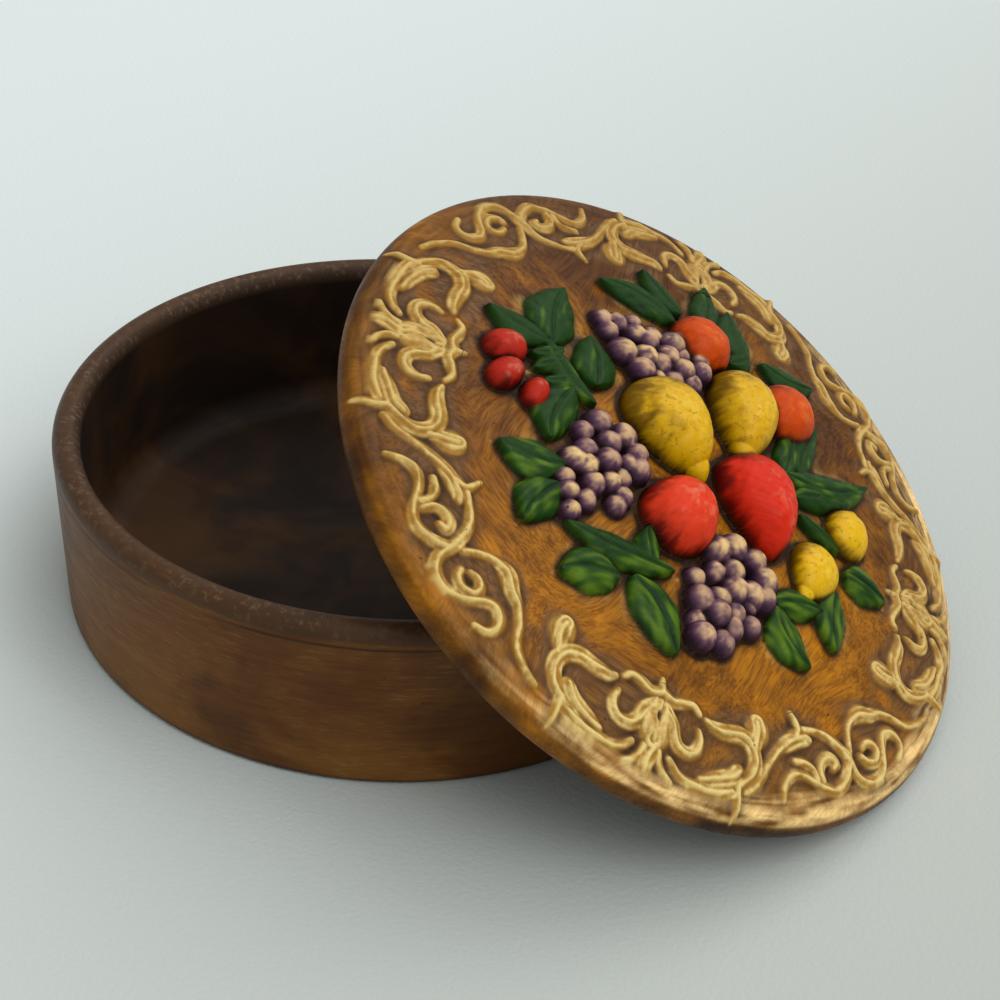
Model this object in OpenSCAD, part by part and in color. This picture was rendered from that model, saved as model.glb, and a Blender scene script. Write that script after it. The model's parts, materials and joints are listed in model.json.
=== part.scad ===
// Round ceramic trinket box with a loose domed lid, cast in two pieces and hand painted.
// The box stands on its flat foot with its axis on Z, and the origin is the middle of the foot.
// The lid is off the box: its edge stands on the table and its underside leans on the box's lip.

/* [Box] */
// Outside diameter of the box at its lip
box_d = 150; // [140:1:170]
// Outside diameter of the box at its foot
foot_d = 146; // [136:1:148]
// Height from the table to the top of the lip
box_h = 41.5; // [36:0.5:50]
// Thickness of the wall, and the width of its fully rounded lip
wall_t = 6; // [4:0.5:8]
// Thickness of the floor
floor_t = 6; // [4:0.5:9]
// Radius of the cove between the wall and the floor inside
cove_r = 7; // [3:0.5:12]
// Radius of the rounded edge round the foot
foot_round = 1.8; // [1:0.1:3]

/* [Lid] */
// How far the edge of the lid stands out past the box
lid_overhang = 2.5; // [1.5:0.5:5]
// Thickness of the rounded edge of the lid
edge_t = 8; // [7:0.5:9]
// Rise of the domed top from the edge to the middle
dome_rise = 7.5; // [5:0.5:10]
// Thickness of the lid between its top and its hollow underside
lid_t = 8.2; // [7:0.1:10]
// Depth of the ring that drops into the mouth of the box
ring_depth = 3.5; // [2:0.5:4]
// Thickness of that ring
ring_t = 4; // [3:0.5:6]
// Clearance between the ring and the mouth of the box
ring_gap = 0.7; // [0.4:0.1:1.5]
// Bevel on the corners of the ring
ring_bevel = 0.8; // [0.4:0.1:1.2]

/* [Lean] */
// Angle between the leaning lid and the table
lean = 33.3; // [32:0.1:36]
// Gap left between the lip and the underside of the lid
rest_gap = 0.15; // [0.1:0.05:0.3]

/* [Relief] */
// Height of the scroll border above the lid
scroll_h = 1.8; // [1:0.1:2.5]
// Turn of the border, from the low side of the lid to its first crown
border_turn = 24; // [0:1:89]
// Times that the crown and its two scrolls repeat round the lid
crowns = 4; // [3:1:5]
// Radius of one grape
grape_r = 2.9; // [2.5:0.1:3.2]
// Height of the leaves above the lid
leaf_h = 2.2; // [1.2:0.1:3]
// Height of the large fruits above the lid
fruit_h = 9; // [6:0.5:11]
// Height of the cherries and small lemons above the lid
berry_h = 5; // [3:0.5:6]

/* [Hidden] */
brown = "saddlebrown";
cream = "khaki";
box_r = box_d / 2;
foot_r = foot_d / 2;
lip_r = wall_t / 2;
inner_r = foot_r - wall_t;
// Slope of the outside wall, tangent to the rounded foot and to the rounded lip
wall_x = box_r - lip_r - foot_r + foot_round;
wall_z = box_h - lip_r - foot_round;
wall_slope = atan2(wall_x, wall_z) + asin((lip_r - foot_round) / norm([wall_x, wall_z]));
lid_r = box_r + lid_overhang;
edge_r = edge_t / 2;
// Radius of the circle that the rounded edge is drawn on
rim_r = lid_r - edge_r;
dome_r = (rim_r * rim_r + dome_rise * dome_rise) / (2 * dome_rise);
top_z = edge_r + dome_rise;
under_z = top_z - lid_t;
ring_r = box_r - wall_t - ring_gap;
ring_z = -edge_r - ring_depth;
// Height of the lid's middle, with the lowest point of its edge on the table
lean_z = rim_r * sin(lean) + edge_r;
// The lip touches the hollow underside, a sphere whose middle lies far below
sphere_z = lean_z - (dome_r - under_z) * cos(lean);
lip_reach = sqrt(pow(dome_r - lip_r - rest_gap, 2) - pow(box_h - lip_r - sphere_z, 2));
lean_x = box_r - lip_r - lip_reach + (dome_r - under_z) * sin(lean);
// The relief is drawn on a lid of radius 100, and one unit of it is this long
unit = lid_r / 100;
// Relief goes this far into the lid, and everything below this level is cut off
root = unit;
relief_z = under_z + lid_t / 4;
body_fn = 48;
dome_rings = 3;
edge_steps = 4;
fruit_fn = 12;
grape_fn = 7;

// Strokes of half a crown, drawn on both sides of it: angle from the crown, radius, width
HALF_CROWN = [
    [[1.8, 89.6, 1.8], [4.4, 95.2, 1]],
    [[1, 77.6, 3.6], [3.6, 83.4, 3.2], [7, 85.8, 2.8], [9, 80.4, 1.2]],
    [[0, 73.6, 3], [4.4, 73.4, 2.6], [9, 73.8, 1]],
    [[3.8, 89.2, 1.4], [7.6, 93.4, 2.6], [14, 93.4, 3], [16.2, 98.4, 1]],
    [[9.8, 90.8, 1.4], [13.6, 89.8, 4], [17.2, 86.8, 2.6]],
    [[17, 91.4, 2.6], [21, 85.6, 3.6], [20.4, 79.2, 3.8], [15, 77, 3.6], [10.8, 76.2, 1.2]],
    [[22, 81.6, 1.6], [22.9, 77.4, 5], [23.6, 73.8, 6]]
];
// Strokes of the scroll on the crown's right, and of the one on its left
RIGHT_SCROLL = [
    [[18.8, 92, 1.6], [24, 84.6, 2.4], [28.8, 79.2, 3.2], [34.4, 77.6, 4.4], [33.4, 71.4, 1]],
    [[35, 75.6, 1.2], [41.2, 79.2, 2.6], [44, 87, 3], [41, 91.2, 3], [36, 91.6, 2.6],
     [31, 86.8, 2.6], [26.2, 93.2, 1.2]],
    [[36.2, 88.4, 2], [37.6, 84, 3], [40.6, 85.8, 2]]
];
LEFT_SCROLL = [
    [[46, 88, 2.6], [43.6, 93.8, 3], [39, 93.4, 2.8], [35, 87, 2.8], [32, 87.2, 3],
     [31.4, 91.6, 2.2], [33.6, 93.8, 1.4]],
    [[41.8, 89.2, 2.4], [37.8, 88.4, 2.8], [39.8, 85, 2]],
    [[45, 84.4, 2], [42, 78.6, 2.2], [36.8, 77.8, 5], [30.4, 83, 2.4], [21.6, 93, 1.4]]
];
// Strokes on the crown's own axis
CROWN = [
    [[-0.3, 95.8, 2], [-0.2, 92.4, 4.4], [0.4, 88, 2.6]],
    [[0, 86.4, 4], [0, 81.4, 8], [0, 76, 2.4]],
    [[0, 73.4, 2.6], [-0.4, 70, 0.9]]
];
// Leaves: foot x and y, tip x and y, width
LEAVES = [
    [-46, -3, -58, 18, 10], [-34, -5, -43, 9, 10], [-51, -5, -68, -8, 9], [-51, -5, -30, -7, 8.5],
    [-36, -12, -35, -31, 9], [-26, -37, -42, -45, 11.5], [-24, -43, -25, -59, 11],
    [13, -37, -15, -50, 8.5], [3, -52, -9, -63, 12], [5, -48, 25, -56, 12.5],
    [38, -17, 50, -5, 8.5], [39, -18, 56, -23, 11.5], [50, 15, 64, 20, 11], [51, 6, 60, -10, 10],
    [20, 25, 41, 52, 11], [24, 30, 21, 53, 9], [20, 24, 14, 42, 8],
    [26, 21, 39, 37, 8], [-4, 58, 12, 69, 10], [-7, 53, -20, 66, 11], [-23, 50, -30, 67, 9],
    [-30, 47, -46, 52, 8.5], [-30, 42, -52, 34, 10]
];
// Large fruits: x and y, turn, half length, half width, height as a share of fruit_h, and the nub's reach
LEMONS = [[-13, 3.5, -20, 15, 13, 1.05, 3], [1.5, 30.5, -65, 15, 12.5, 1, 2.5]];
ORANGES = [[-20.5, 42.5, 0, 9.8, 0.75], [10.5, 47, 80, 10.4, 0.8]];
APPLE = [4.5, -21, 11.6, 1];
// Pear: middle of its body, middle of its neck, and their radii
PEAR = [17, 9, 27, 1, 12.5, 8];
SMALL_LEMONS = [[45, 29, 100, 8.2, 7.5, 1, 1], [43, 5, -80, 9.5, 8, 1, 1.5]];
// Cherries: x and y, turn, half length, half width
CHERRIES = [[-58.5, -17, 40, 6.4, 5.4], [-53.5, -25, 80, 6.4, 4.6], [-44.5, -23.5, 100, 5.4, 3.8]];
// Grape clusters: x and y of the wide end, direction of the tip, grapes in each row
CLUSTERS = [
    [-16, 25, 192, [4, 5, 4, 4, 3, 2, 1]],
    [-20.5, -16, -82, [3, 4, 3, 4, 3, 2, 1]],
    [27, -16, -85, [3, 4, 3, 4, 3, 2, 1]]
];

// Height of the lid's plain top above the middle of its edge, at radius r
function field_z(r) = top_z - dome_r + sqrt(dome_r * dome_r - r * r);

// A point of the drawing, from its angle and radius
function on_ring(a, r) = [r * cos(a), r * sin(a)];

// Direction square to the path at its point i
function across(path, i) =
    let (a = path[max(i - 1, 0)], b = path[min(i + 1, len(path) - 1)], d = b - a)
    [-d[1], d[0]] / norm(d);

// Section of a raised stroke at point p: [share of the half width, height] pairs
function section(p, side, half, shape) = [
    for (s = shape)
        let (q = p + side * s[0] * half) [q[0], q[1], field_z(norm(q)) + s[1]]
];

// Solid that runs through a list of sections, closed at both ends
module through(sections) {
    n = len(sections[0]);
    last = (len(sections) - 1) * n;
    faces = concat(
        [[for (j = [n - 1:-1:0]) j]],
        [for (i = [0:len(sections) - 2], j = [0:n - 1]) let (k = (j + 1) % n, a = i * n)
            [a + j, a + k, a + n + k, a + n + j]],
        [[for (j = [0:n - 1]) last + j]]
    );
    polyhedron([for (s = sections) for (p = s) p], faces, convexity = 4);
}

// One scroll stroke, mirrored by a side of -1
module stroke(points, side) {
    path = [for (p = points) on_ring(p[0] * side, p[1]) * unit];
    through([for (i = [0:len(path) - 1])
        let (w = points[i][2], h = scroll_h * (0.45 + 0.55 * min(1, w / 3)))
        section(path[i], across(path, i), (w / 2 + 0.8) * unit,
            [[-1, -root], [0, h], [1, -root]])]);
}

// A leaf, from its foot to its tip
module leaf(l) {
    foot = [l[0], l[1]] * unit;
    tip = [l[2], l[3]] * unit;
    path = [for (s = [0, 0.4, 0.75, 1]) foot + (tip - foot) * s];
    widths = [0.6, 1.1, 0.85, 0.1];
    through([for (i = [0:3])
        section(path[i], across(path, i), (widths[i] * l[4] / 2 + 0.3) * unit,
            [[-1, -root], [0, leaf_h], [1, -root]])]);
}

// Upper half of an egg that stands on the lid
module egg(x, y, turn, half_l, half_w, h) {
    translate([x * unit, y * unit, field_z(norm([x, y]) * unit)])
        rotate([0, 0, turn])
            scale([half_l * unit, half_w * unit, h])
                sphere(r = 1, $fn = fruit_fn);
}

// A lemon: an egg drawn out to a nub at one end
module lemon(f, h) {
    hull() {
        egg(f[0], f[1], f[2], f[3], f[4], h * f[5]);
        egg(f[0] + (f[3] + f[6]) * cos(f[2]), f[1] + (f[3] + f[6]) * sin(f[2]), 0, 2, 2, h * 0.25);
    }
}

module orange(f) {
    hull() {
        egg(f[0], f[1], f[2], f[3], f[3] * 0.96, fruit_h * f[4]);
        egg(f[0], f[1], f[2], f[3] * 0.9, f[3], fruit_h * f[4] * 0.9);
    }
}

// An apple with a dimple at its low end
module apple(f) {
    difference() {
        egg(f[0], f[1], 0, f[2], f[2] * 0.98, fruit_h * f[3]);
        translate([0, -f[2] * 0.75 * unit, fruit_h * 0.75])
            egg(f[0], f[1], 0, 2.6, 2.6, fruit_h * 0.2);
    }
}

module pear(f) {
    hull() {
        egg(f[0], f[1], 45, f[4], f[4], fruit_h * 1.1);
        egg(f[2], f[3], 0, f[5], f[5], fruit_h * 0.85);
    }
}

module cherry(f) {
    hull() {
        egg(f[0], f[1], f[2], f[3] * 0.85, f[4], berry_h * 0.85);
        egg(f[0], f[1], f[2], f[3], f[4] * 0.8, berry_h * 0.75);
    }
}

// A cluster of grapes in staggered rows, highest along its middle
module cluster(c) {
    pitch = 1.96 * grape_r;
    for (i = [0:len(c[3]) - 1], j = [0:c[3][i] - 1]) {
        side = (j - (c[3][i] - 1) / 2) * pitch;
        p = [c[0], c[1]] * unit + on_ring(c[2], i * pitch * 0.8) + on_ring(c[2] + 90, side);
        lift = grape_r * (0.85 - 0.35 * abs(side) / pitch - 0.25 * i / len(c[3]));
        translate([p[0], p[1], field_z(norm(p)) + lift])
            sphere(r = grape_r, $fn = grape_fn);
    }
}

module border() {
    for (k = [0:crowns - 1])
        rotate([0, 0, border_turn + k * 360 / crowns]) {
            for (s = CROWN)
                stroke(s, 1);
            for (s = HALF_CROWN, side = [-1, 1])
                stroke(s, side);
            for (s = RIGHT_SCROLL)
                stroke(s, 1);
            for (s = LEFT_SCROLL)
                stroke(s, -1);
        }
}

module fruit_basket() {
    color("gold")
        for (f = LEMONS)
            lemon(f, fruit_h);
    color("gold")
        for (f = SMALL_LEMONS)
            lemon(f, berry_h);
    color("orangered")
        for (f = ORANGES)
            orange(f);
    color("firebrick") {
        apple(APPLE);
        pear(PEAR);
        for (f = CHERRIES)
            cherry(f);
    }
    color("mediumpurple")
        for (c = CLUSTERS)
            cluster(c);
}

// Turned body of the lid: domed top, rounded edge, flat seat, ring and hollow underside
module lid_body() {
    rotate_extrude($fn = body_fn)
        polygon(concat(
            [for (i = [0:dome_rings]) let (r = rim_r * i / dome_rings) [r, field_z(r)]],
            [for (i = [1:edge_steps]) let (a = 90 - i * 180 / edge_steps)
                [rim_r + edge_r * cos(a), edge_r * sin(a)]],
            [[ring_r, -edge_r], [ring_r, ring_z + ring_bevel], [ring_r - ring_bevel, ring_z]],
            [[ring_r - ring_t + ring_bevel, ring_z], [ring_r - ring_t, ring_z + ring_bevel]],
            [for (i = [3:-1:0]) let (r = (ring_r - ring_t) * pow(i / 3, 1.5)) [r, field_z(r) - lid_t]]
        ));
}

module lid() {
    translate([lean_x, 0, lean_z])
        rotate([0, lean, 0]) {
            color("peru")
                lid_body();
            color(cream)
                border();
            intersection() {
                translate([0, 0, relief_z])
                    cylinder(r = lid_r, h = dome_rise + 3 * fruit_h);
                fruit_basket();
            }
            color("darkgreen")
                for (l = LEAVES)
                    leaf(l);
        }
}

// Outline of half the box: tapered wall, rounded foot and lip, coved floor
module box_outline() {
    difference() {
        union() {
            polygon([[0, 0], [foot_r - foot_round, 0],
                [foot_r - foot_round * (1 - cos(wall_slope)), foot_round * (1 - sin(wall_slope))],
                [box_r - lip_r * (1 - cos(wall_slope)), box_h - lip_r * (1 + sin(wall_slope))],
                [box_r - lip_r, box_h - lip_r], [0, box_h - lip_r]]);
            translate([foot_r - foot_round, foot_round])
                circle(r = foot_round, $fn = 48);
        }
        polygon([[-1, floor_t], [inner_r - cove_r, floor_t], [inner_r, floor_t + cove_r],
            [box_r - wall_t, box_h - lip_r], [box_r - wall_t, box_h], [-1, box_h]]);
        translate([inner_r - cove_r, floor_t + cove_r])
            circle(r = cove_r, $fn = 72);
    }
    translate([box_r - lip_r, box_h - lip_r])
        circle(r = lip_r, $fn = 48);
}

module box() {
    color(brown)
        rotate_extrude($fn = 120)
            box_outline();
}

box();
lid();
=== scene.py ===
import json

import bpy
import numpy as np
from mathutils import Matrix

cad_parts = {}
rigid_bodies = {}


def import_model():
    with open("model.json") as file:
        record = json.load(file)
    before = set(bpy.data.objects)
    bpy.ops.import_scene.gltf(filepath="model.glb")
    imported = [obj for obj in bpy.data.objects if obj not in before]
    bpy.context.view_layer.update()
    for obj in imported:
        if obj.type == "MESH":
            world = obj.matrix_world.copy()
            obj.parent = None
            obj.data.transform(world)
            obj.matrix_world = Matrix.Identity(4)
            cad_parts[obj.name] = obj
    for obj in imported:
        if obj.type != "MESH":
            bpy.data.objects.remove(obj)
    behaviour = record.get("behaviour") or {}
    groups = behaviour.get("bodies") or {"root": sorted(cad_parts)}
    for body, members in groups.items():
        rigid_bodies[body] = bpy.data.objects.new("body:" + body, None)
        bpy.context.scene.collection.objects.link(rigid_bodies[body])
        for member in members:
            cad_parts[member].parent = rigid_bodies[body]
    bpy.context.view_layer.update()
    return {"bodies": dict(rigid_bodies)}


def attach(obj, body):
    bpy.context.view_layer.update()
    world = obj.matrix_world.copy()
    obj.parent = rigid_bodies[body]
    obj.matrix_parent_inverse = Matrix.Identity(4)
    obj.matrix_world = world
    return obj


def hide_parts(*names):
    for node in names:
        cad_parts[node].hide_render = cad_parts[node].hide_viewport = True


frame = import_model()

# The box is one slip-cast pot: a coved floor, a wall that widens a little, and a fully
# rounded lip. It is brushed with a brown stain, wiped round the wall while it is wet, and
# sealed with a satin glaze. All lengths in this script are in millimetres.
BOX_R, FOOT_R, BOX_H = 75.0, 73.0, 41.5
WALL, FLOOR, COVE, FOOT_ROUND = 6.0, 6.0, 7.0, 1.8
ROWS_BOX, AROUND_BOX = 14, 288
STAIN_DARK = (50, 26, 8)
STAIN_MID = (86, 49, 15)
STAIN_WARM = (102, 61, 18)
STAIN_GOLD = (134, 88, 34)
STAIN_DASH = (138, 98, 54)
STAIN_WORN = (104, 82, 58)
STAIN_LIP = (62, 44, 30)
DARK_MARK_AND_SHADE = (24, 15, 8)
INSIDE_SHADE = (15, 8, 3)


def linear(colour, alpha=1.0):
    """A colour given as 0 to 255 steps of sRGB, as the linear value that a shader takes."""
    c = np.asarray(colour, float) / 255
    c = np.where(c <= 0.04045, c / 12.92, ((c + 0.055) / 1.055) ** 2.4)
    return (*c, alpha)


def arc(middle_r, middle_z, radius, start, end, steps):
    """Points (r, z) on a circle about its middle, from one angle to another in degrees."""
    a = np.radians(np.linspace(start, end, steps))
    return np.stack([middle_r + radius * np.cos(a), middle_z + radius * np.sin(a)], 1)


def between(start, end, steps):
    """Points in equal steps on the straight line from start to end, without its ends."""
    t = np.linspace(0, 1, steps + 2)[1:-1, None]
    return np.asarray(start) * (1 - t) + np.asarray(end) * t


def cast(name, points, faces):
    """A smooth mesh object from points in millimetres and lists of corners."""
    mesh = bpy.data.meshes.new(name)
    mesh.from_pydata((points * 0.001).tolist(), [], faces)
    mesh.polygons.foreach_set("use_smooth", np.ones(len(mesh.polygons), bool))
    mesh.update()
    piece = bpy.data.objects.new(name, mesh)
    bpy.context.scene.collection.objects.link(piece)
    return piece


def turned(profile, around):
    """A profile turned about Z: its point (r, z) goes to (r cos a, r sin a, z) for equal
    steps of the angle a. An end of the profile on the axis is closed with a fan."""
    a = np.linspace(0, 2 * np.pi, around, endpoint=False)
    first, last = profile[0, 0] < 1e-6, profile[-1, 0] < 1e-6
    rows = profile[int(first):len(profile) - int(last)]
    r, z = rows[:, :1], rows[:, 1:]
    points = np.stack([r * np.cos(a), r * np.sin(a), z + 0 * a], 2).reshape(-1, 3)
    cell = np.arange(len(rows) * around).reshape(len(rows), around)
    beside = np.roll(cell, -1, axis=1)
    quads = np.stack([cell[:-1], beside[:-1], beside[1:], cell[1:]], 2).reshape(-1, 4)
    faces = quads.tolist()
    if first:
        faces += np.stack([beside[0], cell[0], 0 * cell[0] + len(points)], 1).tolist()
        points = np.vstack([points, [0, 0, profile[0, 1]]])
    if last:
        faces += np.stack([cell[-1], beside[-1], 0 * cell[0] + len(points)], 1).tolist()
        points = np.vstack([points, [0, 0, profile[-1, 1]]])
    return points, faces


def new_material(material_name):
    """A new material with only its shader and its output, and ways to add and join nodes."""
    material = bpy.data.materials.new(material_name)
    material.use_nodes = True
    return material, Tree(material.node_tree)


class Tree:
    """A node tree that adds nodes with their settings and joins them in one line."""

    def __init__(self, tree):
        self.tree = tree

    def add(self, kind, settings=None, **inputs):
        """A node of that kind. Each input is a value or the socket that feeds it."""
        node = self.tree.nodes.new(kind)
        for key, value in (settings or {}).items():
            setattr(node, key, value)
        for key, value in inputs.items():
            self.feed(node, key.replace("_", " "), value)
        return node

    def feed(self, node, key, value):
        """Sets one input, named or numbered, to a value or joins it to a socket."""
        socket = node.inputs[int(key[1:]) if key[0] == "i" and key[1:].isdigit() else key]
        if isinstance(value, bpy.types.NodeSocket):
            self.tree.links.new(value, socket)
        else:
            socket.default_value = value

    def mix(self, share, a, b, blend="MIX"):
        """The colour a turned into b by a share, or blended with it in another way."""
        node = self.add("ShaderNodeMix", {"data_type": "RGBA", "blend_type": blend})
        for number, value in ((0, share), (6, a), (7, b)):
            self.feed(node, f"i{number}", value)
        return node.outputs[2]

    def maths(self, operation, a, b=0.0, clamp=False):
        """One sum on two numbers."""
        node = self.add("ShaderNodeMath", {"operation": operation, "use_clamp": clamp})
        self.feed(node, "i0", a)
        self.feed(node, "i1", b)
        return node.outputs[0]

    def times(self, *numbers):
        """The product of two or more numbers, such as masks that lie over each other."""
        product = numbers[0]
        for number in numbers[1:]:
            product = self.maths("MULTIPLY", product, number)
        return product

    def step(self, value, low, high, first=0.0, last=1.0):
        """A value that runs smoothly from first to last as its source goes from low to high."""
        node = self.add("ShaderNodeMapRange", {"interpolation_type": "SMOOTHSTEP"})
        for key, number in (("Value", value), ("From Min", low), ("From Max", high),
                            ("To Min", first), ("To Max", last)):
            self.feed(node, key, number)
        return node.outputs[0]

    def noise(self, place, scale, detail=3.0, roughness=0.55, distortion=0.0):
        """Soft noise at a place."""
        node = self.add("ShaderNodeTexNoise", None, Vector=place, Scale=scale, Detail=detail,
                        Roughness=roughness, Distortion=distortion)
        return node.outputs["Fac"]

    def group(self, tree, **inputs):
        """A shared node group with its own values."""
        return self.add("ShaderNodeGroup", {"node_tree": tree}, **inputs)

    def bump(self, height, strength, depth):
        """Normals tilted by a height from 0 to 1 that stands for a depth in metres."""
        node = self.add("ShaderNodeBump", None, Height=height, Strength=strength, Distance=depth)
        return node.outputs[0]

    def place(self, scale=(1, 1, 1), turn=(0, 0, 0), source=None):
        """Object coordinates, or another place, stretched and turned."""
        source = source or self.add("ShaderNodeTexCoord").outputs["Object"]
        return self.add("ShaderNodeMapping", None, Vector=source, Rotation=turn, Scale=scale).outputs[0]


def brush_group():
    """Marks of a stiff brush. Two noises, long in one direction and fine across it, are
    laid over each other, and a third, broad noise says where the brush pressed harder."""
    group = bpy.data.node_groups.new("brush_marks", "ShaderNodeTree")
    for name, kind, way in (("Place", "Vector", "INPUT"), ("Fineness", "Float", "INPUT"),
                            ("Streak", "Float", "OUTPUT"), ("Pressure", "Float", "OUTPUT")):
        group.interface.new_socket(name=name, socket_type="NodeSocket" + kind, in_out=way)
    t = Tree(group)
    ends = t.add("NodeGroupInput"), t.add("NodeGroupOutput")
    place, fineness = ends[0].outputs[0], ends[0].outputs[1]
    fine = t.noise(place, fineness, 4, 0.6, 0.3)
    coarse = t.noise(place, t.times(fineness, 0.37), 3, 0.5, 0.5)
    streak = t.maths("ADD", t.times(fine, 0.55), t.times(coarse, 0.45))
    pressure = t.noise(place, t.times(fineness, 0.12), 2, 0.5, 0.8)
    t.feed(ends[1], "Streak", t.step(streak, 0.38, 0.62))
    t.feed(ends[1], "Pressure", t.step(pressure, 0.35, 0.65))
    return group


def pit_group():
    """Pinholes left by air in the slip: the middles of a few scattered cells."""
    group = bpy.data.node_groups.new("pinholes", "ShaderNodeTree")
    for name, kind, way in (("Place", "Vector", "INPUT"), ("Number", "Float", "INPUT"),
                            ("Size", "Float", "INPUT"), ("Hole", "Float", "OUTPUT")):
        group.interface.new_socket(name=name, socket_type="NodeSocket" + kind, in_out=way)
    t = Tree(group)
    ends = t.add("NodeGroupInput"), t.add("NodeGroupOutput")
    cells = t.add("ShaderNodeTexVoronoi", None, Vector=ends[0].outputs[0], Scale=ends[0].outputs[1])
    rare = t.add("ShaderNodeSeparateColor", None, Color=cells.outputs["Color"])
    size = t.times(ends[0].outputs[2], t.step(rare.outputs[0], 0.55, 0.95))
    t.feed(ends[1], "Hole", t.step(t.maths("SUBTRACT", size, cells.outputs["Distance"]), 0, 0.08))
    return group


brush_marks = brush_group()
pinholes = pit_group()

wall_x, wall_z = FOOT_ROUND - FOOT_R + BOX_R - WALL / 2, BOX_H - WALL / 2 - FOOT_ROUND
slope = np.degrees(np.arctan2(wall_x, wall_z)
                   + np.arcsin((WALL / 2 - FOOT_ROUND) / np.hypot(wall_x, wall_z)))
foot_edge = arc(FOOT_R - FOOT_ROUND, FOOT_ROUND, FOOT_ROUND, -90, -slope, 9)
lip = arc(BOX_R - WALL / 2, BOX_H - WALL / 2, WALL / 2, -slope, 180, 26)
cove = arc(FOOT_R - WALL - COVE, FLOOR + COVE, COVE, 0, -90, 18)
box_profile = np.vstack([
    [[0, 0]], between([0, 0], foot_edge[0], 5), foot_edge,
    between(foot_edge[-1], lip[0], ROWS_BOX), lip,
    between(lip[-1], cove[0], 12), cove,
    between(cove[-1], [0, FLOOR], ROWS_BOX), [[0, FLOOR]],
])
box_shell = cast("box_shell", *turned(box_profile, AROUND_BOX))

# The stain is darkest on the lip, gold low on the wall, in short dashes where the brush dragged,
# and worn off the top of the lip. The inside is darkened nearly to black as painted shade, a dark
# line runs under the lip, and painted shade runs round the foot.
LIP_FADE, LIP_WORN = (4.2, 2.8), (3.6, 1.6)
# the dark line under the lip, by depth under the top of the lip, and the painted shade round the foot,
# by height
UNDER_LIP_UP, UNDER_LIP_DOWN, FOOT_SHADE = (5.6, 5.0), (4.3, 4.9), (2.2, 0.6)

stain, t = new_material("brown_stain")
shader = t.tree.nodes["Principled BSDF"]
wiped = t.group(brush_marks, Place=t.place((0.12, 0.12, 1.4)), Fineness=1100.0)
wiped_streak, pressure = wiped.outputs["Streak"], wiped.outputs["Pressure"]
blotch = t.noise(t.place(), 26.0, 3, 0.6, 0.6)
split = t.add("ShaderNodeSeparateXYZ", None, Vector=t.place((1000, 1000, 1000)))
height = split.outputs["Z"]
from_axis = t.maths("SQRT", t.maths("ADD", t.maths("POWER", split.outputs["X"], 2.0),
                                    t.maths("POWER", split.outputs["Y"], 2.0)))


def below_lip(depths):
    """A step from 0 to 1 between two depths in millimetres under the top of the lip."""
    return t.step(height, BOX_H - depths[0], BOX_H - depths[1])


gold = t.times(t.step(blotch, 0.6, 0.36), t.step(height, 34.0, 6.0, 0.3, 0.95))
colour = t.mix(t.times(wiped_streak, 0.7), linear(STAIN_MID), linear(STAIN_WARM))
colour = t.mix(t.times(gold, 0.7), colour, linear(STAIN_GOLD))
colour = t.mix(t.times(t.step(blotch, 0.46, 0.7), 0.22), colour, linear(STAIN_DARK))
colour = t.mix(t.times(pressure, 0.15), colour, linear(STAIN_DARK))
inner_r = BOX_R - WALL
hollow = t.times(t.step(from_axis, inner_r + 2.2, inner_r + 0.2), t.step(height, 1.0, 4.0))
outside = t.maths("SUBTRACT", 1.0, hollow)
# painted shade: the inside of the box is darkened nearly to black
inside = t.times(hollow, t.step(blotch, 0.3, 0.7, 0.78, 0.97))
colour = t.mix(inside, colour, linear(INSIDE_SHADE))
dashes = t.noise(t.place((0.3, 0.3, 2.2)), 950.0, 2, 0.5)
dashes = t.times(t.step(dashes, 0.5, 0.74), t.step(blotch, 0.62, 0.4))
colour = t.mix(t.times(dashes, t.times(outside, 0.45)), colour, linear(STAIN_DASH))
colour = t.mix(t.times(below_lip(LIP_FADE), 0.75), colour, linear(STAIN_LIP))
worn = t.step(t.noise(t.place((1, 1, 0.5)), 700.0, 4, 0.7), 0.5, 0.68)
worn = t.times(worn, t.step(t.noise(t.place(), 30.0), 0.35, 0.6, 0.2, 0.8))
colour = t.mix(t.times(worn, below_lip(LIP_WORN)), colour, linear(STAIN_WORN))
ragged = t.step(t.noise(t.place(), 20.0), 0.4, 0.6, 0.0, 0.7)
# a dark line under the lip
under_lip_line = t.times(below_lip(UNDER_LIP_UP), below_lip(UNDER_LIP_DOWN), outside, ragged)
# painted shade round the foot, joined with the dark line under the lip
dark_line_and_foot_shade = t.maths("MAXIMUM", under_lip_line, t.times(t.step(height, *FOOT_SHADE), 0.7))
colour = t.mix(dark_line_and_foot_shade, colour, linear(DARK_MARK_AND_SHADE))
holes = t.group(pinholes, Place=t.place(), Number=170.0, Size=0.12).outputs["Hole"]
colour = t.mix(t.times(holes, 0.8), colour, linear(DARK_MARK_AND_SHADE))
t.feed(shader, "Base Color", colour)
satin = t.step(wiped_streak, 0, 1, 0.5, 0.42)
t.feed(shader, "Roughness", t.maths("ADD", satin, t.times(hollow, 0.22)))
t.feed(shader, "Specular IOR Level", 0.18)
stain_height = t.maths("SUBTRACT", t.times(wiped_streak, 0.3), holes)
t.feed(shader, "Normal", t.bump(stain_height, 0.3, 0.0002))
box_shell.data.materials.append(stain)
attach(box_shell, "root")
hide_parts("box")

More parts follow.
